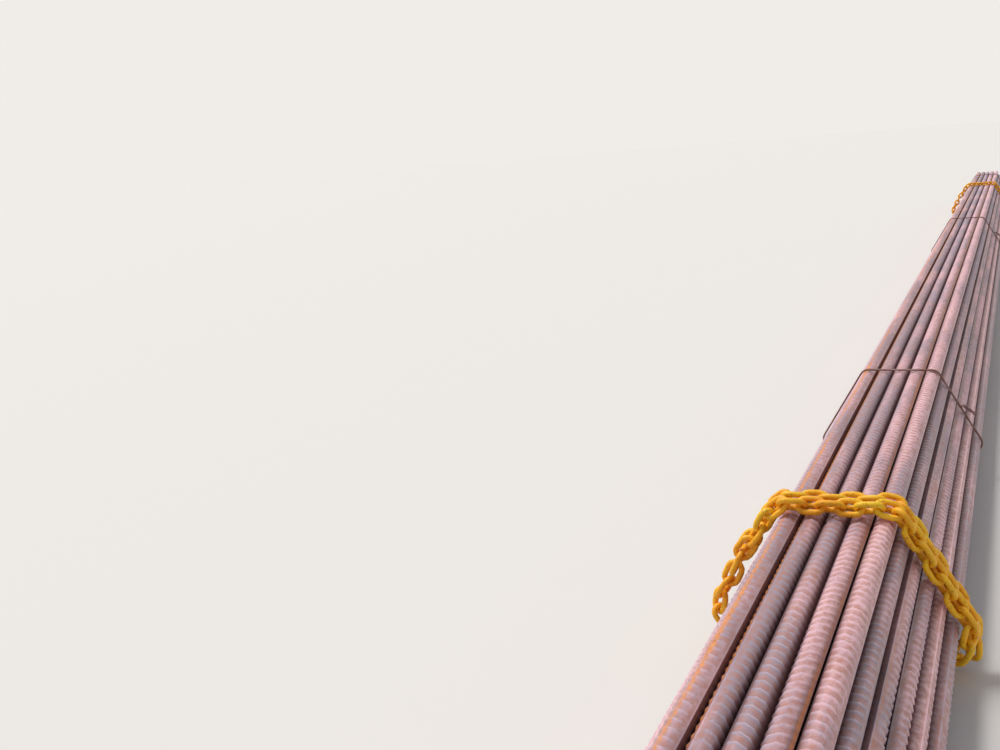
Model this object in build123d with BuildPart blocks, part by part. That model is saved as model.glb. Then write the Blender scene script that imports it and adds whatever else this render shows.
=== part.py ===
"""A bundle of 9 m ribbed reinforcing bars, tied with doubled wire and hung in two chain slings.

The bars lie along Y, +X is to the right and +Z is up. The origin is on the floor, under the
middle of the bundle. The bars rest on the lower runs of the two slings. All sizes are in mm.
"""
import math
import os

from build123d import *

# Bars: the ribs stand on the core, and neighbours touch crest to crest.
bar_length = 9000.0
bar_core = 24.5
rib_height = 2.0
bar_gap = 0.3
bar_sides = 12
wire_sides = 6
row_counts = (9, 10, 9, 8, 7, 6, 5)

# The sheared ends lie a little out of line, by a wave along each row that differs from row to row.
end_scatter = 22.0
scatter_per_bar = 2.4
scatter_per_row = 1.7

# Sling chain: short round-steel links, each rolled half a quarter turn to one side.
wire = 8.0
link_inner_length = 24.0
link_inner_width = 11.0
link_flat = 0.5
link_roll = 45.0
joint_slack = 0.3
seat_clearance = 0.9
bend_shift = 1.9
bend_turn = 45.0

# Slings: the loop and the spare tail run side by side from the joining link on the left flank.
sling_inset = 1500.0
strand_spread = 12.5
strand_root = 13.4
loop_spread_part = 1 / 6
tail_spread_part = 1 / 3
gather_start = 0.45
gather_part = 0.5
tail_floor_gap = 6.0

# Joining link of each sling, and how the links hung in it turn back to the chain's own roll.
joiner_wire = 8.0
joiner_inner_width = 42.0
joiner_shortest = 24.0
joiner_flat = 0.8
joiner_lift = 6.0
joiner_height = 0.5
root_roll = 84.0
root_roll_step = 16.0

# Tie wires: two turns side by side, with their ends twisted together.
tie_wire = 3.2
tie_gap = 0.5
ties_from_near_end = (430.0, 2330.0)
ties_from_far_end = (3570.0, 430.0)
tie_clearance = 0.25
twist_turns = 1.25
twist_length = 24.0
twist_lean = 20.0
twist_lift = 6.5
twist_step = 45.0
tie_bend_step = 30.0

# Step of the points along a chain's route, and the least turn that counts as a corner.
fine_step = 0.05
least_turn = 1e-6

# Worked out from the sizes above. Bars and wires are many-sided, each with the section area of
# its round original: the corner values give the corner radius against the round one's radius.
bar_corner = math.sqrt(2 * math.pi / (bar_sides * math.sin(2 * math.pi / bar_sides)))
wire_corner = math.sqrt(2 * math.pi / (wire_sides * math.sin(2 * math.pi / wire_sides)))
bar_radius = bar_core / 2 + rib_height
bar_pitch = 2 * bar_radius + bar_gap
row_rise = bar_pitch * math.sqrt(3) / 2
link_rise = (link_inner_width + wire) / 2 * math.sin(math.radians(link_roll))
link_reach = link_rise + wire / 2 * wire_corner
link_pitch = link_inner_length - joint_slack
chain_seat = bar_radius + link_reach + seat_clearance
chain_corner = math.hypot(chain_seat, link_pitch / 2)
first_row_height = chain_corner + link_reach
near_end = -bar_length / 2
tie_places = [near_end + away for away in ties_from_near_end]
tie_places += [-near_end - away for away in ties_from_far_end]


def bar_places(row):
    """Centres of one row's bars across the bundle, as (x, z)."""
    count = row_counts[row]
    height = first_row_height + row * row_rise
    return [((i - (count - 1) / 2) * bar_pitch, height) for i in range(count)]


def bar_row(row):
    """One layer of bars, many-sided so that flat lies beside flat where neighbours meet."""
    with BuildPart() as layer:
        for i, (x, z) in enumerate(bar_places(row)):
            shift = end_scatter * math.sin(scatter_per_bar * (i + 1) + scatter_per_row * row)
            with BuildSketch(Plane.XZ.offset(bar_length / 2 - shift)):
                with Locations((x, z)):
                    RegularPolygon(bar_radius * bar_corner, bar_sides, rotation=180 / bar_sides)
            extrude(amount=-bar_length)
    return layer.part


def hull_corners():
    """Corner bars of the stack, clockwise from the left end of the top row."""
    points = sorted(p for row in range(len(row_counts)) for p in bar_places(row))

    def half(chain_points):
        kept = []
        for p in chain_points:
            while len(kept) > 1:
                (ax, az), (bx, bz) = kept[-2], kept[-1]
                if (bx - ax) * (p[1] - az) - (bz - az) * (p[0] - ax) < -least_turn:
                    break
                kept.pop()
            kept.append(p)
        return kept[:-1]

    ring = half(points) + half(points[::-1])
    top = max(z for x, z in ring)
    start = ring.index(min(p for p in ring if p[1] > top - row_rise / 2))
    return ring[start:] + ring[:start]


def face_angles(corners):
    """Outward direction, in degrees, of the side that leaves each corner."""
    angles = []
    for k, (x, z) in enumerate(corners):
        nx, nz = corners[(k + 1) % len(corners)]
        angles.append(math.degrees(math.atan2(nz - z, nx - x)) + 90)
    return angles


def around(corners):
    """Chain route round the stack, from the joining link on the left side back to it.

    The sides lie at the seat distance, and the arcs give each straight link room to turn.
    """
    spill = math.degrees(math.acos(chain_seat / chain_corner))
    angles = face_angles(corners)
    left = math.radians(angles[-1])
    (ax, az), (bx, bz) = corners[-1], corners[0]
    high = chain_seat + joiner_lift
    side_x = ax + (bx - ax) * joiner_height
    side_z = az + (bz - az) * joiner_height
    start = (side_x + high * math.cos(left), side_z + high * math.sin(left))
    route = [start]
    for k, (x, z) in enumerate(corners):
        before = angles[k - 1]
        turn = (before - angles[k]) % 360
        steps = int(turn + 2 * spill) + 1
        for j in range(steps + 1):
            a = math.radians(before + spill - (turn + 2 * spill) * j / steps)
            route.append((x + chain_corner * math.cos(a), z + chain_corner * math.sin(a)))
    return route + [start]


def finely(route):
    """The same route with points at a fine, even step."""
    points = []
    for (ax, az), (bx, bz) in zip(route, route[1:]):
        count = max(1, round(math.dist((ax, az), (bx, bz)) / fine_step))
        for j in range(count):
            points.append((ax + (bx - ax) * j / count, az + (bz - az) * j / count))
    return points


def ease(value):
    """A smooth rise from 0 to 1."""
    value = min(1, max(0, value))
    return value * value * (3 - 2 * value)


def joints_along(points, y_at):
    """Joints of a chain laid on the route, one link apart along it."""
    stride = round(link_pitch / fine_step)
    return [Vector(x, y_at(i / len(points)), z) for i, (x, z) in enumerate(points)][::stride]


def link_places(joints, joined_ends):
    """Where the links between the joints go, rolled to one side and the other in turn.

    A link hung in the joining link stands upright, and the next ones turn back by steps.
    In a bend the links slide apart sideways, so each end keeps its own shift.
    """
    ways = [(b - a).normalized() for a, b in zip(joints, joints[1:])]
    turns = [0, *(math.degrees(a.cross(b).Y) for a, b in zip(ways, ways[1:])), 0]
    places = []
    for k, way in enumerate(ways):
        side = 1 if k % 2 == 0 else -1
        slides = [Vector(0, -side * bend_shift * turn / bend_turn, 0) for turn in turns[k:k + 2]]
        way = (joints[k + 1] + slides[1] - joints[k] - slides[0]).normalized()
        middle = (joints[k + 1] + slides[1] + joints[k] + slides[0]) / 2
        outward = way.cross(Vector(0, 1, 0)).normalized()
        across = outward.cross(way)
        steps_away = min([k, len(ways) - 1 - k][:joined_ends])
        extra = max(0, root_roll - link_roll - root_roll_step * steps_away)
        roll = math.radians(link_roll + extra * (1 if steps_away % 2 == 0 else -1))
        normal = outward * math.cos(roll) + across * side * math.sin(roll)
        places.append(Plane(origin=middle, x_dir=way, z_dir=normal).location)
    return places


def chain_link(inner_length, inner_width, thickness, flat):
    """One welded link, flat on XY: a six-sided bar bent round into a long ring."""
    reach = (inner_length + thickness) / 2
    half_width = (inner_width + thickness) / 2
    nose = half_width * flat
    shoulder = reach - half_width + nose
    with BuildPart() as link:
        with BuildLine() as ring:
            Polyline((0, half_width), (shoulder, half_width), (reach, nose), (reach, -nose),
                     (shoulder, -half_width), (-shoulder, -half_width), (-reach, -nose),
                     (-reach, nose), (-shoulder, half_width), (0, half_width))
        with BuildSketch(Plane.YZ):
            with Locations((half_width, 0)):
                RegularPolygon(thickness / 2 * wire_corner, wire_sides, rotation=180 / wire_sides)
        sweep(path=ring.line, transition=Transition.RIGHT)
    return link.part


def sling(y, tail_length):
    """A chain sling round the bundle: the closed loop, its joining link and the spare tail."""
    corners = hull_corners()
    loop = finely(around(corners))

    def loop_y(t):
        spread = strand_root + (strand_spread - strand_root) * ease(t / loop_spread_part)
        return y - spread * (1 - ease((t - gather_start) / gather_part))

    def tail_y(t):
        return y + strand_root + (strand_spread - strand_root) * ease(t / tail_spread_part)

    joints = joints_along(loop, loop_y)
    while (joints[-1] - joints[0]).length < joiner_shortest:
        joints.pop()

    outermost = max(range(len(loop)), key=lambda i: loop[i][0])
    x, z = loop[outermost]
    lowest = tail_floor_gap + (link_inner_length - link_pitch) / 2 + wire
    drop = loop[:outermost] + finely([(x, z), (x, lowest)])
    tail = joints_along(drop[:round(tail_length / fine_step)], tail_y)

    first, last = joints[0], joints[-1]
    way = Vector(first.X - last.X, 0, first.Z - last.Z)
    middle = Vector((first.X + last.X) / 2, y, (first.Z + last.Z) / 2)
    eye = Plane(origin=middle, x_dir=way, z_dir=way.cross(Vector(0, 1, 0))).location

    link = chain_link(link_inner_length, link_inner_width, wire, link_flat)
    joiner = chain_link(way.length + joint_slack, joiner_inner_width, joiner_wire, joiner_flat)
    with BuildPart() as chain:
        with Locations(*link_places(joints, 2), *(link_places(tail, 1) if tail else [])):
            add(link)
        with Locations(eye):
            add(joiner)
    return chain.part


def tie(y):
    """One tie: two closed turns of wire side by side, their ends twisted into a tail."""
    corners = hull_corners()
    angles = face_angles(corners)
    radius = bar_radius + tie_clearance + tie_wire / 2
    ring = []
    for k, (x, z) in enumerate(corners):
        turn = (angles[k - 1] - angles[k]) % 360
        chords = max(1, round(turn / tie_bend_step))
        reach = radius / math.cos(math.radians(turn / chords / 2))
        for j in range(chords):
            a = math.radians(angles[k - 1] - turn * (j + 0.5) / chords)
            ring.append((x + reach * math.cos(a), z + reach * math.sin(a)))
    start = ((ring[0][0] + ring[-1][0]) / 2, (ring[0][1] + ring[-1][1]) / 2)
    ring = [start, *ring, start]

    half = (tie_wire + tie_gap) / 2
    flank = math.radians(angles[1])
    outward = Vector(math.cos(flank), 0, math.sin(flank))
    along = Vector(math.sin(flank), 0, -math.cos(flank))
    lean = math.radians(twist_lean)
    axis = along * math.cos(lean) + outward * math.sin(lean)
    rise = axis.cross(Vector(0, 1, 0))
    (ax, az), (bx, bz) = corners[1:3]
    knot = Vector((ax + bx) / 2, y, (az + bz) / 2) + outward * radius
    crown = knot + outward * twist_lift
    steps = round(twist_turns * 360 / twist_step)
    swing = half / math.cos(math.radians(twist_step / 2))

    with BuildPart() as wires:
        for side in (-1, 1):
            with BuildPart(mode=Mode.PRIVATE) as strand:
                with BuildLine(Plane.XZ.offset(-y - side * half)) as path:
                    Polyline(*ring)
                with BuildSketch(Plane(origin=path.line @ 0, x_dir=(0, 1, 0), z_dir=path.line % 0)):
                    RegularPolygon(tie_wire / 2 * wire_corner, wire_sides)
                sweep(path=path.line, transition=Transition.RIGHT)
                root = knot + Vector(0, side * half, 0)
                points = [root]
                for j in range(steps + 1):
                    a = math.radians(twist_turns * 360 * j / steps)
                    radial = Vector(0, 1, 0) * math.cos(a) + rise * math.sin(a)
                    points.append(crown + axis * (twist_length * j / steps) + radial * side * swing)
                with BuildLine() as tail:
                    Polyline(*points)
                with BuildSketch(Plane(origin=root, x_dir=(0, 1, 0), z_dir=tail.line % 0)):
                    RegularPolygon(tie_wire / 2 * wire_corner, wire_sides)
                sweep(path=tail.line, transition=Transition.RIGHT)
            add(strand.part)
    return wires.part


def save(name, part):
    part.label = name
    export_step(part, f"parts/{name}.step")


os.makedirs("parts", exist_ok=True)
for row in range(len(row_counts)):
    save(f"bars_row_{row + 1}", bar_row(row))
save("near_sling_chain", sling(near_end + sling_inset, bar_length))
save("far_sling_chain", sling(-near_end - sling_inset, 0))
for number, place in enumerate(tie_places):
    save(f"tie_wire_{number + 1}", tie(place))
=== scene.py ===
# %% [markdown]
# # A bundle of reinforcing bars
#
# Ribbed steel bars leave the mill in stock lengths, stacked into a bundle that a crane can lift. Wire
# ties hold the stack together and a chain sling goes round it near each end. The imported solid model
# gives every place and size here. This lesson puts ribs on the bars, rounds the chain and the wires, and
# gives the three steels their own finish: mill scale with rust, worn yellow paint, and brown soft wire.

# %% Load the frame
import math
import random

import bmesh
import bpy
import numpy as np
from mathutils import Matrix, Vector


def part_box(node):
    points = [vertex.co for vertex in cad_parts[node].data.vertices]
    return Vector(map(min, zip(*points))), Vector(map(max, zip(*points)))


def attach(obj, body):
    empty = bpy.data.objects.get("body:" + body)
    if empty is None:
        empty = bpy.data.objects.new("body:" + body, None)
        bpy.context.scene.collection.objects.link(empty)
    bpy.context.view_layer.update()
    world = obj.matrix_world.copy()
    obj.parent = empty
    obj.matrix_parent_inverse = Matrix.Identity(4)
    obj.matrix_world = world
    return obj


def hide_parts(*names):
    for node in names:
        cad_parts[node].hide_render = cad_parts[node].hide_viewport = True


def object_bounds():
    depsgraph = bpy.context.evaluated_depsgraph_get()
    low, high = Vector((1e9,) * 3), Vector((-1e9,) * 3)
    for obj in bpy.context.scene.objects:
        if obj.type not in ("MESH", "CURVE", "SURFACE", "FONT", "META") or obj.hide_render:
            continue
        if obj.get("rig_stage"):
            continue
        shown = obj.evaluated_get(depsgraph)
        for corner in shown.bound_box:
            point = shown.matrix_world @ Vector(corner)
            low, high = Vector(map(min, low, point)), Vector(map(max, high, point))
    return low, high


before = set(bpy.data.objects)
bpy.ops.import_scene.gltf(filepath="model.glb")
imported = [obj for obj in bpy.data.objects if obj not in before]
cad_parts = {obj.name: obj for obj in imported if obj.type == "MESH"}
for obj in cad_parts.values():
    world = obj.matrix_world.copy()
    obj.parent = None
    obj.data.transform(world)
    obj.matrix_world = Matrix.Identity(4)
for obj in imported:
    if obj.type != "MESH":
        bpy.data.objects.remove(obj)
cad_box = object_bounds()
bundle_low, bundle_high = cad_box
print("bundle", [round(v, 3) for v in bundle_high - bundle_low], "m")

# %% [markdown]
# ## The camera
#
# The camera stands over the near part of the bundle, a little right of its middle, and looks along the
# bars and slightly down on them. Its place is worked out from where the bars run together in the
# distance and from the size of a chain link. A view can be kept as three unit vectors, to the right, up
# and backwards, which are the columns of the camera's rotation matrix.

# %% Camera
camera_place = (0.205, -4.382, 0.694)
view_right = Vector((0.907, 0.4124, -0.0857)).normalized()
view_forward = Vector((-0.4212, 0.8843, -0.2018)).normalized()
view_up = view_right.cross(view_forward).normalized()
view_right = view_forward.cross(view_up)
bpy.ops.object.camera_add(location=camera_place)
camera = bpy.context.object
camera.name = "camera"
turned = Matrix((view_right, view_up, -view_forward)).transposed()
camera.rotation_euler = turned.to_euler()
camera.data.sensor_width = 36.0
camera.data.lens = 40.1
camera.data.clip_start = 0.02
camera.data.clip_end = 100.0
bpy.context.scene.camera = camera
bpy.context.scene.view_settings.view_transform = "Standard"
print("camera", [round(v, 2) for v in camera.location])

# %% [markdown]
# ## Floor and light
#
# A plain pale floor and a soft sky show the steel without help. The world has the floor's own pale tone
# for the camera and for reflections, so no horizon shows, and is dimmer as a lamp. One wide lamp from
# the upper left gives the bars their bright tops and darker flanks, and its large angle keeps the
# shadows soft.

# %% Floor
floor_size = 80.0
bpy.ops.mesh.primitive_plane_add(size=floor_size, location=(0.0, 0.0, 0.0))
floor = bpy.context.object
floor.name = "floor"
floor_paint = bpy.data.materials.new("floor_paint")
floor_paint.use_nodes = True
floor_surface = floor_paint.node_tree.nodes["Principled BSDF"]
floor_surface.inputs["Base Color"].default_value = (0.80, 0.79, 0.77, 1.0)
floor_surface.inputs["Roughness"].default_value = 0.9
floor.data.materials.append(floor_paint)
floor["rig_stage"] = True
print("floor", floor_size, "m across")

# %% World
world = bpy.data.worlds.new("soft_sky")
bpy.context.scene.world = world
world.use_nodes = True
sky = world.node_tree
sky.nodes.clear()
rays = sky.nodes.new("ShaderNodeLightPath")
seen = sky.nodes.new("ShaderNodeMath")
seen.operation = "MAXIMUM"
dim_sky = sky.nodes.new("ShaderNodeBackground")
dim_sky.inputs["Color"].default_value = (0.93, 0.96, 1.0, 1.0)
dim_sky.inputs["Strength"].default_value = 0.36
pale_sky = sky.nodes.new("ShaderNodeBackground")
pale_sky.inputs["Color"].default_value = (0.871, 0.847, 0.815, 1.0)
choose = sky.nodes.new("ShaderNodeMixShader")
sky_out = sky.nodes.new("ShaderNodeOutputWorld")
sky.links.new(rays.outputs["Is Camera Ray"], seen.inputs[0])
sky.links.new(rays.outputs["Is Glossy Ray"], seen.inputs[1])
sky.links.new(seen.outputs[0], choose.inputs[0])
sky.links.new(dim_sky.outputs[0], choose.inputs[1])
sky.links.new(pale_sky.outputs[0], choose.inputs[2])
sky.links.new(choose.outputs[0], sky_out.inputs["Surface"])
print("sky", world.name)

# %% Lamp
lamp_direction = Vector((0.50, -0.10, -0.86))
bpy.ops.object.light_add(type="SUN", location=(-3.0, -4.0, 6.0))
lamp = bpy.context.object
lamp.name = "wide_lamp"
lamp.data.energy = 2.55
lamp.data.angle = math.radians(26)
lamp.data.color = (1.0, 0.955, 0.91)
lamp.rotation_euler = lamp_direction.to_track_quat("-Z", "Y").to_euler()
print("lamp", lamp.data.energy)

# %% [markdown]
# ## Small tools
#
# Every step below needs the same few moves: start with nothing selected, pick vertices by their place,
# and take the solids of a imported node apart. A node's mesh is loose triangles, so a copy of it is merged
# and separated, the corner points of each solid are noted, and the copies are thrown away. Points nearer
# than the merge distances are one point.

# %% Small tools
solid_merge = 0.00002
step_merge = 0.00005
wire_merge = 0.00001


def clear_selection():
    if bpy.context.object and bpy.context.object.mode != "OBJECT":
        bpy.ops.object.mode_set(mode="OBJECT")
    bpy.ops.object.select_all(action="DESELECT")


def only(piece):
    clear_selection()
    piece.select_set(True)
    bpy.context.view_layer.objects.active = piece


def edit(piece, action="DESELECT"):
    only(piece)
    bpy.ops.object.mode_set(mode="EDIT")
    bpy.ops.mesh.select_mode(type="VERT")
    bpy.ops.mesh.select_all(action=action)


def move(piece, shift):
    edit(piece, "SELECT")
    bpy.ops.transform.translate(value=shift)
    bpy.ops.object.mode_set(mode="OBJECT")


def pick(piece, test):
    points = bmesh.from_edit_mesh(piece.data)
    for v in points.verts:
        v.select = bool(test(v.co))
    points.select_flush_mode()
    bmesh.update_edit_mesh(piece.data)


def twin(piece, name):
    copied = piece.copy()
    copied.data = piece.data.copy()
    copied.name = name
    copied.data.name = name
    bpy.context.collection.objects.link(copied)
    return copied


def solids_of(node):
    """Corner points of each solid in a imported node, one array for each."""
    copied = twin(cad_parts[node], "taken_apart")
    copied.parent = None
    copied.hide_set(False)
    edit(copied, "SELECT")
    bpy.ops.mesh.remove_doubles(threshold=solid_merge)
    bpy.ops.mesh.separate(type="LOOSE")
    bpy.ops.object.mode_set(mode="OBJECT")
    parts = [o for o in bpy.context.selected_objects if o.type == "MESH"]
    found = [np.array([v.co[:] for v in part.data.vertices]) for part in parts]
    for part in parts:
        bpy.data.objects.remove(part)
    return found


def finish_piece(piece, material, node):
    """Paints a piece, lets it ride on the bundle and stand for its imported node."""
    piece.data.materials.clear()
    piece.data.materials.append(material)
    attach(piece, "root")
    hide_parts(node)


# %% [markdown]
# ## Where the bars are
#
# Seven layers lie in each other's hollows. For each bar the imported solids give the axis, as its distance
# across and its height, and the places of its two sheared ends.

# %% Bar places
bar_gap = 0.0003
layers = {}
for number in range(1, 8):
    node = f"bars_row_{number}"
    places = []
    for points in solids_of(node):
        low, high = points.min(0), points.max(0)
        places.append(((low[0] + high[0]) / 2, (low[2] + high[2]) / 2, low[1], high[1]))
    layers[node] = sorted(places)
bar_spacing = layers["bars_row_1"][1][0] - layers["bars_row_1"][0][0]
over_ribs = bar_spacing - bar_gap
print("bars in the layers", [len(v) for v in layers.values()], "over the ribs", round(over_ribs, 4), "m")

# %% [markdown]
# ## One step of ribs
#
# Hot rolling presses two long ribs and two rows of slanted crescent ribs into the bar. One step of that
# pattern is enough: a ring of points, extruded to a foot, a crest, a foot and the next foot. The crest
# ring is then pushed out most in the middle of each half, which makes the crescents, and the columns of
# points are turned and slid along the bar, which makes them slant. An Array repeats the step and welds
# the copies. Each moved column below has its angle from a long rib, the degrees it turns, and how high
# its crest stands, as a part of the full rib.

# %% One step of ribs
rib_spacing = 0.0155
rib_width = 0.0080
rib_slant = 0.0150
rib_height = 0.0018
long_rib_drop = 0.0005
rib_top = over_ribs / 2
bar_core = rib_top - rib_height
long_rib = rib_top - long_rib_drop
columns = 14
column_step = 360 / columns
column_tolerance = 0.5
crest_tolerance = 1e-4
moved_columns = ((column_step, -16.5, 0.0), (2 * column_step, -15.5, 0.72), (3 * column_step, -6.0, 1.0))


def around_bar(point):
    return math.degrees(math.atan2(point.z, point.x)) % 360


def from_long_rib(angle):
    half_turn = min(angle, 360 - angle)
    return min(half_turn, 180 - half_turn)


def in_column(point, angle):
    return abs(from_long_rib(around_bar(point)) - angle) < column_tolerance


def on_crest(point):
    return abs(point.y - rib_width / 2) < crest_tolerance


clear_selection()
bpy.ops.mesh.primitive_circle_add(vertices=columns, radius=bar_core,
                                  rotation=(math.pi / 2, math.pi / 2, 0))
rib_step = bpy.context.object
rib_step.name = "rib_step"
bpy.ops.object.transform_apply(location=True, rotation=True, scale=True)
edit(rib_step, "SELECT")
for advance in (rib_width / 2, rib_width / 2, rib_spacing - rib_width):
    bpy.ops.mesh.extrude_region_move(TRANSFORM_OT_translate={"value": (0, advance, 0)})
for angle, turn, crescent in moved_columns:
    if crescent > 0:
        pick(rib_step, lambda p: in_column(p, angle) and on_crest(p))
        out = (bar_core + crescent * (rib_top - bar_core)) / bar_core
        bpy.ops.transform.resize(value=(out, 1, out), center_override=(0, 0, 0))
pick(rib_step, lambda p: in_column(p, 0.0))
bpy.ops.transform.resize(value=(long_rib / bar_core, 1, 1), center_override=(0, 0, 0))
bpy.ops.object.mode_set(mode="OBJECT")
print("rib step faces", len(rib_step.data.polygons))

# %% Turn and slant the columns
height = rib_step.data.attributes.new("rib_height", "FLOAT", "POINT")
for index, vertex in enumerate(rib_step.data.vertices):
    reach = math.hypot(vertex.co.x, vertex.co.z)
    height.data[index].value = max(0.0, (reach - bar_core) / (rib_top - bar_core))
    here = around_bar(vertex.co)
    half_turn = min(here, 360 - here)
    column = from_long_rib(here)
    moved = column + next((t for a, t, _ in moved_columns if abs(column - a) < column_tolerance), 0.0)
    half_turn = moved if half_turn <= 90 else 180 - moved
    angle = math.radians(half_turn if here <= 180 else 360 - half_turn)
    slide = rib_slant * (half_turn / 180 - 0.5)
    vertex.co = (reach * math.cos(angle), vertex.co.y + slide, reach * math.sin(angle))
print("slant", rib_slant, "m over half a turn")

# %% [markdown]
# ## The long bars
#
# The outer bars carry real ribs from end to end. The bars inside the stack show only at its two ends and
# as dark strips between their neighbours, so they have real ribs at the ends and a plain stretch
# between, bridged in one piece, where the finish draws the ribs as bump. That keeps the whole bundle
# light enough. Both are made a little too long, to be cut to length later.

# %% Arrays of ribs
outer_overhang = 0.06
inner_overhang = 0.03
half_length = max(place[3] for places in layers.values() for place in places)
whole_count = int(2 * (half_length + outer_overhang) / rib_spacing) + 2
end_count = 12


def repeated(count, name):
    """A run of rib steps, welded together and centred on the origin."""
    run = twin(rib_step, name)
    only(run)
    bpy.ops.object.modifier_add(type="ARRAY")
    array = run.modifiers[0]
    array.use_relative_offset = False
    array.use_constant_offset = True
    array.constant_offset_displace = (0, rib_spacing, 0)
    array.count = count
    array.use_merge_vertices = True
    array.merge_threshold = step_merge
    bpy.ops.object.modifier_apply(modifier=array.name)
    move(run, (0, -count * rib_spacing / 2, 0))
    return run


outer_bar = repeated(whole_count, "outer_bar")
print("outer bar faces", len(outer_bar.data.polygons))

# %% A bar for the inside
inner_bar = repeated(end_count, "inner_bar")
far_run = repeated(end_count, "far_run")
run_middle = half_length + inner_overhang - end_count * rib_spacing / 2
move(inner_bar, (0, -run_middle, 0))
move(far_run, (0, run_middle, 0))
only(inner_bar)
far_run.select_set(True)
bpy.ops.object.join()
edit(inner_bar)
inner_edge = run_middle - end_count * rib_spacing / 2
open_edges = bmesh.from_edit_mesh(inner_bar.data)
for edge in open_edges.edges:
    middle = (edge.verts[0].co.y + edge.verts[1].co.y) / 2
    edge.select = edge.is_boundary and abs(middle) < inner_edge + rib_slant
bmesh.update_edit_mesh(inner_bar.data)
bpy.ops.mesh.select_mode(type="EDGE")
bpy.ops.mesh.bridge_edge_loops()
bpy.ops.object.mode_set(mode="OBJECT")
print("inner bar faces", len(inner_bar.data.polygons))

# %% [markdown]
# ## Helpers for finishes
#
# A finish is a chain of nodes that ends in the Principled surface. Each helper adds one kind of link to
# that chain: noise, a colour ramp, a mask between two limits, a blend of two colours, a sum or product,
# an attribute stored on the mesh, and bump.

# %% Helpers for finishes
def node_of(tree, kind, **settings):
    made = tree.nodes.new(kind)
    for key, value in settings.items():
        if hasattr(made, key):
            setattr(made, key, value)
        else:
            made.inputs[key].default_value = value
    return made


def feed(tree, socket, value):
    """Gives a socket a number, a colour or another node's output."""
    if isinstance(value, (int, float)):
        socket.default_value = value
    elif isinstance(value, tuple):
        socket.default_value = (*value, 1.0)
    else:
        tree.links.new(value, socket)


def noise(tree, where, scale, detail, rough, stretch=(1, 1, 1)):
    spread = node_of(tree, "ShaderNodeMapping")
    spread.inputs["Scale"].default_value = stretch
    tree.links.new(where, spread.inputs["Vector"])
    made = node_of(tree, "ShaderNodeTexNoise", Scale=scale, Detail=detail, Roughness=rough)
    tree.links.new(spread.outputs[0], made.inputs["Vector"])
    return made.outputs["Fac"]


def ramp(tree, value, *stops):
    made = node_of(tree, "ShaderNodeValToRGB")
    band = made.color_ramp
    while len(band.elements) < len(stops):
        band.elements.new(0.5)
    for element, (place, color) in zip(band.elements, stops):
        element.position = place
        element.color = (*color, 1.0)
    tree.links.new(value, made.inputs[0])
    return made.outputs["Color"]


def mask(tree, value, low, high):
    made = node_of(tree, "ShaderNodeMapRange", interpolation_type="SMOOTHSTEP")
    made.inputs["From Min"].default_value = low
    made.inputs["From Max"].default_value = high
    tree.links.new(value, made.inputs["Value"])
    return made.outputs["Result"]


def blend_color(tree, factor, under, over):
    made = tree.nodes.new("ShaderNodeMix")
    made.data_type = "RGBA"
    for socket, value in ((made.inputs[0], factor), (made.inputs[6], under), (made.inputs[7], over)):
        feed(tree, socket, value)
    return made.outputs[2]


def maths(tree, operation, first, second):
    made = node_of(tree, "ShaderNodeMath", operation=operation)
    feed(tree, made.inputs[0], first)
    feed(tree, made.inputs[1], second)
    return made.outputs[0]


def plus(tree, first, second):
    return maths(tree, "ADD", first, second)


def times(tree, first, second):
    return maths(tree, "MULTIPLY", first, second)


def attribute(tree, name):
    return node_of(tree, "ShaderNodeAttribute", attribute_name=name).outputs["Fac"]


def start_finish(name):
    made = bpy.data.materials.new(name)
    made.use_nodes = True
    tree = made.node_tree
    where = tree.nodes.new("ShaderNodeTexCoord").outputs["Object"]
    return made, tree, tree.nodes["Principled BSDF"], where


def give_roughness(tree, surface, value, smooth, rough):
    """Roughness between two limits, each a place on the ramp and a roughness."""
    stops = [(place, (level, level, level)) for place, level in (smooth, rough)]
    tree.links.new(ramp(tree, value, *stops), surface.inputs["Roughness"])


def bump(tree, surface, height, strength, distance, below=None):
    made = node_of(tree, "ShaderNodeBump", Strength=strength, Distance=distance)
    tree.links.new(height, made.inputs["Height"])
    if below is not None:
        tree.links.new(below, made.inputs["Normal"])
    tree.links.new(made.outputs[0], surface.inputs["Normal"])
    return made.outputs[0]


# %% [markdown]
# ## The steel of the bars
#
# Hot-rolled bar keeps its mill scale, a hard grey-blue skin that turns mauve where it has begun to rust.
# Rust is brown beside the ribs, with painted shade there as well, and bright orange where water has
# stood or run along a bar. Noise does the spread: long patches that change along the bar, a fine mottle,
# middling stains, and sparse orange spots. Attributes on the mesh place the rest. rib_height tells the
# crests, which handling rubs paler and which carry a painted highlight, and the valleys, which keep their
# rust and carry painted shade. gap tells where painted shade lies between neighbours, streak tells where
# water ran, and bar_tint makes each bar a little different.

# %% Colours of scale and rust
blue_scale = (0.360, 0.305, 0.400)
mauve_scale = (0.770, 0.480, 0.555)
pale_scale = (1.000, 0.635, 0.675)
mottled_rust = (0.480, 0.210, 0.140)
stain_rust = (0.530, 0.250, 0.170)
# The valley colour is rust and also painted shade beside the ribs.
valley_rust_and_shade = (0.450, 0.190, 0.140)
# The crest colour is wear from handling and a painted highlight.
worn_lit_crest = (0.92, 0.66, 0.73)
# Painted shade: a near-black laid on a bar where it faces a neighbouring bar.
gap_painted_shade = (0.105, 0.050, 0.048)
deep_orange = (0.58, 0.185, 0.040)
bright_orange = (0.86, 0.340, 0.085)
inner_shade = (0.150, 0.060, 0.040)


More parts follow.
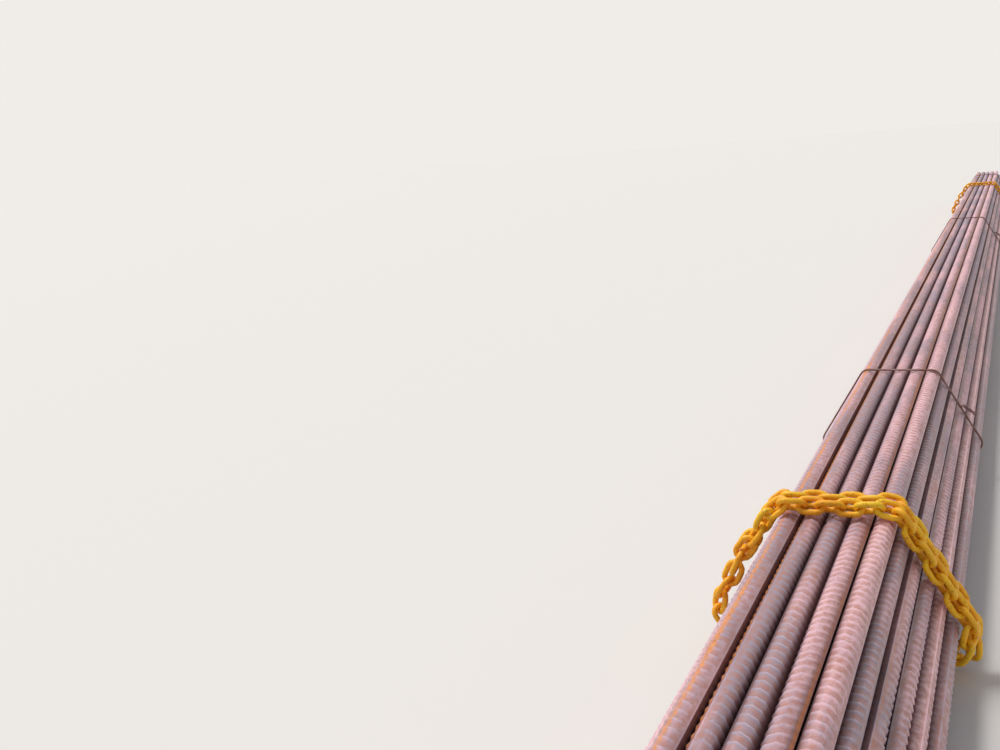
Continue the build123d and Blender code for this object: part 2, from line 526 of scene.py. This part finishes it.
def scale_rust_and_rib_shading(tree, where, mottle):
    """Mill scale in long patches, with brown rust over it, valleys in rust and painted shade, and crests
    paled by wear and a painted highlight.
    """
    patches = noise(tree, where, scale=5.0, detail=5.0, rough=0.65, stretch=(4.0, 0.6, 4.0))
    tone = plus(tree, patches, times(tree, attribute(tree, "bar_tint"), 0.30))
    color = ramp(tree, tone, (0.36, blue_scale), (0.52, mauve_scale), (0.76, pale_scale))
    rust = times(tree, mask(tree, mottle, 0.48, 0.78), 0.6)
    color = blend_color(tree, rust, color, mottled_rust)
    stains = noise(tree, where, scale=16.0, detail=5.0, rough=0.7, stretch=(2.0, 0.7, 2.0))
    color = blend_color(tree, times(tree, mask(tree, stains, 0.54, 0.72), 0.6), color, stain_rust)
    crest = attribute(tree, "rib_height")
    # Valleys beside the ribs: brown rust, darkened as painted shade as well.
    valley = times(tree, mask(tree, crest, 0.55, 0.05), mask(tree, mottle, 0.25, 0.60))
    color = blend_color(tree, times(tree, valley, 0.68), color, valley_rust_and_shade)
    # Crests: paled by handling wear, and lightened as a painted highlight.
    crest_wear_and_highlight = times(tree, mask(tree, crest, 0.55, 1.0), mask(tree, mottle, 0.70, 0.45))
    return blend_color(tree, times(tree, crest_wear_and_highlight, 0.55), color, worn_lit_crest)


def gap_shade_and_water_rust(tree, where, mottle, color):
    """Painted shade in the gaps, then orange spots and the orange run of water."""
    # Painted shade: the gap value darkens the steel where it faces a neighbouring bar.
    color = blend_color(tree, times(tree, attribute(tree, "gap"), 0.80), color, gap_painted_shade)
    spots = noise(tree, where, scale=34.0, detail=5.0, rough=0.75, stretch=(1.0, 0.5, 1.0))
    spots = mask(tree, spots, 0.65, 0.75)
    run_off = noise(tree, where, scale=4.0, detail=6.0, rough=0.75, stretch=(3.0, 1.0, 3.0))
    run_off = plus(tree, attribute(tree, "streak"), times(tree, run_off, 0.9))
    run_off = mask(tree, run_off, 0.88, 1.36)
    orange = ramp(tree, mottle, (0.35, deep_orange), (0.65, bright_orange))
    return blend_color(tree, maths(tree, "MAXIMUM", spots, run_off), color, orange)


# %% Bar steel
# A wave texture of scale 1 turns through this many radians in a metre.
wave_radians = 20


def bar_steel(name, drawn_ribs):
    made, tree, surface, where = start_finish(name)
    mottle = noise(tree, where, scale=130.0, detail=6.0, rough=0.7, stretch=(1.0, 0.55, 1.0))
    color = gap_shade_and_water_rust(tree, where, mottle, scale_rust_and_rib_shading(tree, where, mottle))
    give_roughness(tree, surface, mottle, (0.3, 0.30), (0.7, 0.55))
    surface.inputs["Metallic"].default_value = 0.15
    pits = noise(tree, where, scale=420.0, detail=5.0, rough=0.7)
    pitted = bump(tree, surface, pits, strength=0.45, distance=0.0005)
    if drawn_ribs:
        color = blend_color(tree, 0.45, color, inner_shade)
        bands = node_of(tree, "ShaderNodeTexWave", wave_type="BANDS", bands_direction="Y",
                        wave_profile="SIN", Scale=2 * math.pi / rib_spacing / wave_radians)
        tree.links.new(where, bands.inputs["Vector"])
        ribs = mask(tree, bands.outputs["Fac"], 0.55, 0.95)
        bump(tree, surface, ribs, strength=0.9, distance=0.0016, below=pitted)
    tree.links.new(color, surface.inputs["Base Color"])
    return made


ribbed_steel = bar_steel("ribbed_steel", False)
inner_steel = bar_steel("inner_steel", True)
print("finishes", ribbed_steel.name, inner_steel.name)

# %% [markdown]
# ## Laying the bars
#
# Each bar is a copy of one of the two long ones. It is rolled about its own axis and slid along it, so
# no two bars line up, and then cut flat at its own two ends with Bisect, as the mill's shear does. Every
# outer bar is told how far each of its points looks into the gap beside a neighbour, which sets the
# painted shade there, and five of them get a stripe where water has run, given below by its strength
# and by the side it faces, in degrees.

# %% Values on the bars
streak_half_angle = 44
gap_shade_start, gap_shade_width = 0.55, 0.42
neighbour_reach = 1.2 * bar_spacing
streaked = {("bars_row_7", 0): (1.0, 118), ("bars_row_7", 1): (0.9, 150), ("bars_row_7", 3): (0.7, 25),
            ("bars_row_5", 6): (0.6, 60), ("bars_row_6", 0): (0.8, 150)}
all_places = [place for places in layers.values() for place in places]


def give(piece, name, values):
    """Stores one value, or one for each point, under a name that a finish can read."""
    made = piece.data.attributes.new(name, "FLOAT", "POINT")
    made.data.foreach_set("value", np.full(len(piece.data.vertices), values))


def from_axis(piece, place):
    """Each point's offset from the bar's axis, as rows of x and z."""
    points = np.empty(3 * len(piece.data.vertices))
    piece.data.vertices.foreach_get("co", points)
    return points.reshape(-1, 3)[:, [0, 2]] - place[:2]


def give_streak(piece, place, strength, facing):
    """A stripe of water rust along the bar, on the side that faces the given angle."""
    offset = from_axis(piece, place)
    angle = np.degrees(np.arctan2(offset[:, 1], offset[:, 0]))
    away = np.abs((angle - facing + 180) % 360 - 180)
    give(piece, "streak", strength * np.maximum(0.0, 1 - away / streak_half_angle))


def give_gap_shade(piece, place):
    """How far each point looks into a gap, which sets its painted shade: 0 on the open side, 1 where two
    bars meet.
    """
    out = from_axis(piece, place)
    out /= np.linalg.norm(out, axis=1)[:, None]
    facing = np.zeros(len(out))
    for other in all_places:
        way = np.array(other[:2]) - place[:2]
        if 0 < np.linalg.norm(way) < neighbour_reach:
            facing = np.maximum(facing, out @ (way / np.linalg.norm(way)))
    give(piece, "gap", np.clip((facing - gap_shade_start) / gap_shade_width, 0, 1))


print("bars with a streak", len(streaked))

# %% Lay the bars
rolled = random.Random(7)
bar_smooth_angle = math.radians(52)


def cut_end(piece, y, way):
    """Cuts the bar flat at y, takes away what lies beyond and closes the cut."""
    edit(piece, "SELECT")
    bpy.ops.mesh.bisect(plane_co=(0, y, 0), plane_no=(0, way, 0), use_fill=True, clear_outer=True)
    bpy.ops.object.mode_set(mode="OBJECT")


def lay_bar(master, name, place):
    x, z, y_near, y_far = place
    piece = twin(master, name)
    edit(piece, "SELECT")
    roll = rolled.uniform(0, 2 * math.pi)
    bpy.ops.transform.rotate(value=roll, orient_axis="Y", center_override=(0, 0, 0))
    bpy.ops.transform.translate(value=(0, rolled.uniform(-0.5, 0.5) * rib_spacing, 0))
    bpy.ops.object.mode_set(mode="OBJECT")
    cut_end(piece, y_near, -1)
    cut_end(piece, y_far, 1)
    edit(piece, "SELECT")
    bpy.ops.transform.translate(value=(x, 0, z))
    bpy.ops.mesh.normals_make_consistent(inside=False)
    bpy.ops.object.mode_set(mode="OBJECT")
    bpy.ops.object.shade_smooth_by_angle(angle=bar_smooth_angle)
    return piece


for node, places in layers.items():
    for index, place in enumerate(places):
        outside = index in (0, len(places) - 1) or node == "bars_row_7"
        piece = lay_bar(outer_bar if outside else inner_bar, f"{node}_bar_{index + 1}", place)
        give(piece, "bar_tint", rolled.uniform(-0.5, 0.5))
        if outside:
            give_gap_shade(piece, place)
        if (node, index) in streaked:
            give_streak(piece, place, *streaked[(node, index)])
        finish_piece(piece, ribbed_steel if outside else inner_steel, node)
for spare in (rib_step, outer_bar, inner_bar):
    bpy.data.objects.remove(spare)
print("bars laid", len(all_places))

# %% [markdown]
# ## One chain link
#
# A sling link is a round bar bent into a long ring and welded in the middle of one side. It can be
# modelled the way it is made: a circle is extruded for the straight side and spun round for each end.
# The ring in the middle of the first side is swelled for the weld. The joining link is made by the same
# steps, with straight stretches between its tighter corners.

# %% One chain link
link_wire = 0.004
link_half_width = 0.0095
link_straight = 0.0065
link_sides = 8
weld_step = 0.0016
weld_swell = 1.04
weld_tolerance = 0.0001
least_stretch = 0.001


def round_link(name, half_width, half_straight, corner, bend_steps):
    """A closed ring of round bar, flat on XY and long in X, with a weld on one side."""
    clear_selection()
    bpy.ops.mesh.primitive_circle_add(vertices=link_sides, radius=link_wire,
                                      rotation=(0, math.pi / 2, 0), location=(0, half_width, 0))
    link = bpy.context.object
    link.name = name
    bpy.ops.object.transform_apply(location=True, rotation=True, scale=True)
    edit(link, "SELECT")
    end = half_straight + half_width - corner
    side = half_width - corner

    def extrude(x, y):
        bpy.ops.mesh.extrude_region_move(TRANSFORM_OT_translate={"value": (x, y, 0)})

    extrude(weld_step, 0)
    extrude(end - weld_step, 0)
    bends = ((end, side, 0, -2 * side), (end, -side, -2 * end, 0), (-end, -side, 0, 2 * side),
             (-end, side, 0, 0))
    for x, y, along, across in bends:
        bpy.ops.mesh.spin(steps=bend_steps, angle=math.pi / 2, center=(x, y, 0), axis=(0, 0, 1))
        if max(abs(along), abs(across)) > least_stretch:
            extrude(along, across)
    extrude(end - weld_step, 0)
    extrude(weld_step, 0)
    bpy.ops.mesh.select_all(action="SELECT")
    bpy.ops.mesh.remove_doubles(threshold=step_merge)
    bpy.ops.mesh.normals_make_consistent(inside=False)
    pick(link, lambda p: abs(p.x) < weld_tolerance and p.y > 0)
    bpy.ops.transform.resize(value=(1, weld_swell, weld_swell), center_override=(0, half_width, 0))
    bpy.ops.object.mode_set(mode="OBJECT")
    bpy.ops.object.shade_smooth()
    return link


link_model = round_link("link_model", link_half_width, link_straight, link_half_width, 3)
print("link faces", len(link_model.data.polygons))

# %% [markdown]
# ## Worn yellow paint
#
# The chain was dipped in golden yellow paint. It has chipped to brown rust in small specks and gone
# olive and dark where grease and dirt sit. A tint on each link keeps them from looking alike.

# %% Chain paint
orange_yellow = (0.96, 0.420, 0.006)
golden_yellow = (1.00, 0.540, 0.010)
light_yellow = (1.00, 0.640, 0.020)
greasy_olive = (0.360, 0.210, 0.025)
chipped_rust = (0.420, 0.090, 0.012)

chain_paint, tree, surface, where = start_finish("chain_paint")
grime = noise(tree, where, scale=55.0, detail=5.0, rough=0.65)
specks = noise(tree, where, scale=420.0, detail=4.0, rough=0.7)
tone = noise(tree, where, scale=24.0, detail=3.0, rough=0.5)
tone = plus(tree, tone, attribute(tree, "link_tint"))
color = ramp(tree, tone, (0.35, orange_yellow), (0.55, golden_yellow), (0.75, light_yellow))
color = blend_color(tree, mask(tree, grime, 0.60, 0.78), color, greasy_olive)
color = blend_color(tree, mask(tree, specks, 0.59, 0.65), color, chipped_rust)
tree.links.new(color, surface.inputs["Base Color"])
give_roughness(tree, surface, grime, (0.35, 0.38), (0.7, 0.72))
bump(tree, surface, specks, strength=0.5, distance=0.0006)
print("finish", chain_paint.name)

# %% [markdown]
# ## Hanging the chain
#
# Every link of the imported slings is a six-sided stand-in at its true place. Its three axes follow from
# its corner points: it is longest along one, less wide along the next, and thinnest through the third.
# The round link is put on those axes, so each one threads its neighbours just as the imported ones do. The
# joining link is told from the others by its greater length, and takes its size from its stand-in.

# %% Lay the links
joining_least_length = 0.045
joining_corner = 0.008
joining_bend_steps = 4
tinted = random.Random(11)


def axes_of(points):
    """A link's middle, its three axes as columns, and its outer size along each."""
    centred = points - points.mean(0)
    values, vectors = np.linalg.eigh(centred.T @ centred)
    base = vectors[:, np.argsort(values)[::-1]]
    if np.linalg.det(base) < 0:
        base[:, 2] *= -1
    local = points @ base
    middle = base @ ((local.max(0) + local.min(0)) / 2)
    return middle, base, local.max(0) - local.min(0)


def put(piece, middle, base):
    only(piece)
    piece.matrix_world = Matrix.Translation(Vector(middle)) @ Matrix(base.tolist()).to_4x4()
    bpy.ops.object.transform_apply(location=True, rotation=True, scale=True)


def low_to_high(points):
    return round(points[:, 2].mean(), 3), points[:, 0].mean()


for node in ("near_sling_chain", "far_sling_chain"):
    stand_ins = sorted(solids_of(node), key=low_to_high)
    for number, points in enumerate(stand_ins, start=1):
        middle, base, size = axes_of(points)
        if size[0] > joining_least_length:
            half_width = size[1] / 2 - link_wire
            piece = round_link(f"{node}_joining_link", half_width, size[0] / 2 - link_wire - half_width,
                               joining_corner, joining_bend_steps)
        else:
            piece = twin(link_model, f"{node}_link_{number}")
        put(piece, middle, base)
        give(piece, "link_tint", tinted.uniform(-0.08, 0.08))
        finish_piece(piece, chain_paint, node)
    print(node, len(stand_ins), "links")
bpy.data.objects.remove(link_model)

# %% [markdown]
# ## The wire ties
#
# Each tie is a soft wire taken twice round the stack, with its ends twisted together on the right flank.
# The wire follows the outline of the stack: straight over the flats and bent round the corner bars. A
# path with a round bevel draws it from a list of points, and is then turned into a mesh.

# %% Corner bars
def heading(angle):
    return Vector((math.cos(angle), 0, math.sin(angle)))


def bar_at(node, which):
    x, z = layers[node][which][:2]
    return Vector((x, 0, z))


corners = [bar_at("bars_row_7", 0), bar_at("bars_row_7", -1), bar_at("bars_row_2", -1),
           bar_at("bars_row_1", -1), bar_at("bars_row_1", 0), bar_at("bars_row_2", 0)]
flats = []
for here, ahead in zip(corners, corners[1:] + corners[:1]):
    flats.append(math.atan2(ahead.z - here.z, ahead.x - here.x) + math.pi / 2)
tie_turns = [(flats[k - 1] - flats[k]) % (2 * math.pi) for k in range(len(corners))]
print("tie turns", [round(math.degrees(turn)) for turn in tie_turns])

# %% Tie steel
dark_wire = (0.120, 0.055, 0.045)
brown_wire = (0.240, 0.110, 0.085)
flaked_wire = (0.420, 0.190, 0.110)
dusty_wire = (0.320, 0.190, 0.180)

tie_steel, tree, surface, where = start_finish("tie_steel")
flaking = noise(tree, where, scale=260.0, detail=5.0, rough=0.7)
broad = noise(tree, where, scale=30.0, detail=3.0, rough=0.5)
color = ramp(tree, flaking, (0.35, dark_wire), (0.55, brown_wire), (0.72, flaked_wire))
color = blend_color(tree, mask(tree, broad, 0.45, 0.70), color, dusty_wire)
tree.links.new(color, surface.inputs["Base Color"])
surface.inputs["Roughness"].default_value = 0.72
bump(tree, surface, flaking, strength=0.5, distance=0.0004)
print("finish", tie_steel.name)

# %% Route of a tie
tie_radius = 0.0016
tie_clearance = 0.00025
tie_seat = over_ribs / 2 + tie_clearance + tie_radius
tie_half_spacing = 0.0018
tie_bend_degrees = 12
ring = []
for k, corner in enumerate(corners):
    bends = max(2, round(math.degrees(tie_turns[k]) / tie_bend_degrees))
    for j in range(bends + 1):
        ring.append(corner + heading(flats[k - 1] - tie_turns[k] * j / bends) * tie_seat)
print("points in a turn", len(ring))

# %% [markdown]
# The twist is two screw lines round one axis, half a turn apart. Each wire stands off its turn first,
# then winds round the other. The axis points down the flank and leans a little away from the bars.

# %% One tie
twist_turns = 1.25
twist_length = 0.024
twist_steps = 20
twist_lean = math.radians(20)
twist_lift = 0.0065
twist_foot = 0.0035
wire_smooth_angle = math.radians(50)

outward = heading(flats[1])
down = heading(flats[1] - math.pi / 2)
axis = down * math.cos(twist_lean) + outward * math.sin(twist_lean)
rise = axis.cross(Vector((0, 1, 0)))
knot = (corners[1] + corners[2]) / 2 + outward * tie_seat
crown = knot + outward * twist_lift + axis * tie_radius


def bent_wire(name, points, closed):
    """A round wire through the points, as a mesh."""
    clear_selection()
    bpy.ops.curve.primitive_nurbs_path_add()
    wire = bpy.context.object
    wire.name = name
    line = wire.data
    line.splines.clear()
    run = line.splines.new("POLY")
    run.points.add(len(points) - 1)
    for target, point in zip(run.points, points):
        target.co = (*point, 1.0)
    run.use_cyclic_u = closed
    line.dimensions = "3D"
    line.bevel_depth = tie_radius
    line.bevel_resolution = 2
    line.use_fill_caps = not closed
    bpy.ops.object.convert(target="MESH")
    made = bpy.context.object
    edit(made, "SELECT")
    bpy.ops.mesh.remove_doubles(threshold=wire_merge)
    bpy.ops.mesh.normals_make_consistent(inside=False)
    bpy.ops.object.mode_set(mode="OBJECT")
    bpy.ops.object.shade_smooth_by_angle(angle=wire_smooth_angle)
    return made


def tie_strand(name, side):
    """One turn round the stack and one twisted end, joined where the end leaves the turn."""
    shift = Vector((0, side * tie_half_spacing, 0))
    loop = bent_wire(name, [p + shift for p in ring], True)
    tail = [knot + shift, knot + shift + outward * twist_foot]
    for j in range(twist_steps + 1):
        a = 2 * math.pi * twist_turns * j / twist_steps
        radial = Vector((0, 1, 0)) * math.cos(a) + rise * math.sin(a)
        tail.append(crown + axis * (twist_length * j / twist_steps) + radial * side * tie_half_spacing)
    end = bent_wire(name + "_end", tail, False)
    only(loop)
    end.select_set(True)
    bpy.ops.object.join()
    return loop


strands = [tie_strand("tie_model_1", -1), tie_strand("tie_model_2", 1)]
print("triangles in a strand", sum(len(p.vertices) - 2 for p in strands[0].data.polygons))

# %% Lay the ties
for number in range(1, 5):
    node = f"tie_wire_{number}"
    low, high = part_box(node)
    for index, model in enumerate(strands):
        piece = twin(model, f"{node}_turn_{index + 1}")
        move(piece, (0, (low.y + high.y) / 2, 0))
        finish_piece(piece, tie_steel, node)
    print(node, "at", round((low.y + high.y) / 2, 3))
for model in strands:
    bpy.data.objects.remove(model)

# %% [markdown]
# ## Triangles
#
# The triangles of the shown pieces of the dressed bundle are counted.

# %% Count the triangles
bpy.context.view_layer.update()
shown = [o for o in bpy.data.objects if o.type == "MESH" and not o.get("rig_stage") and not o.hide_render]
print("triangles", sum(len(p.vertices) - 2 for o in shown for p in o.data.polygons))
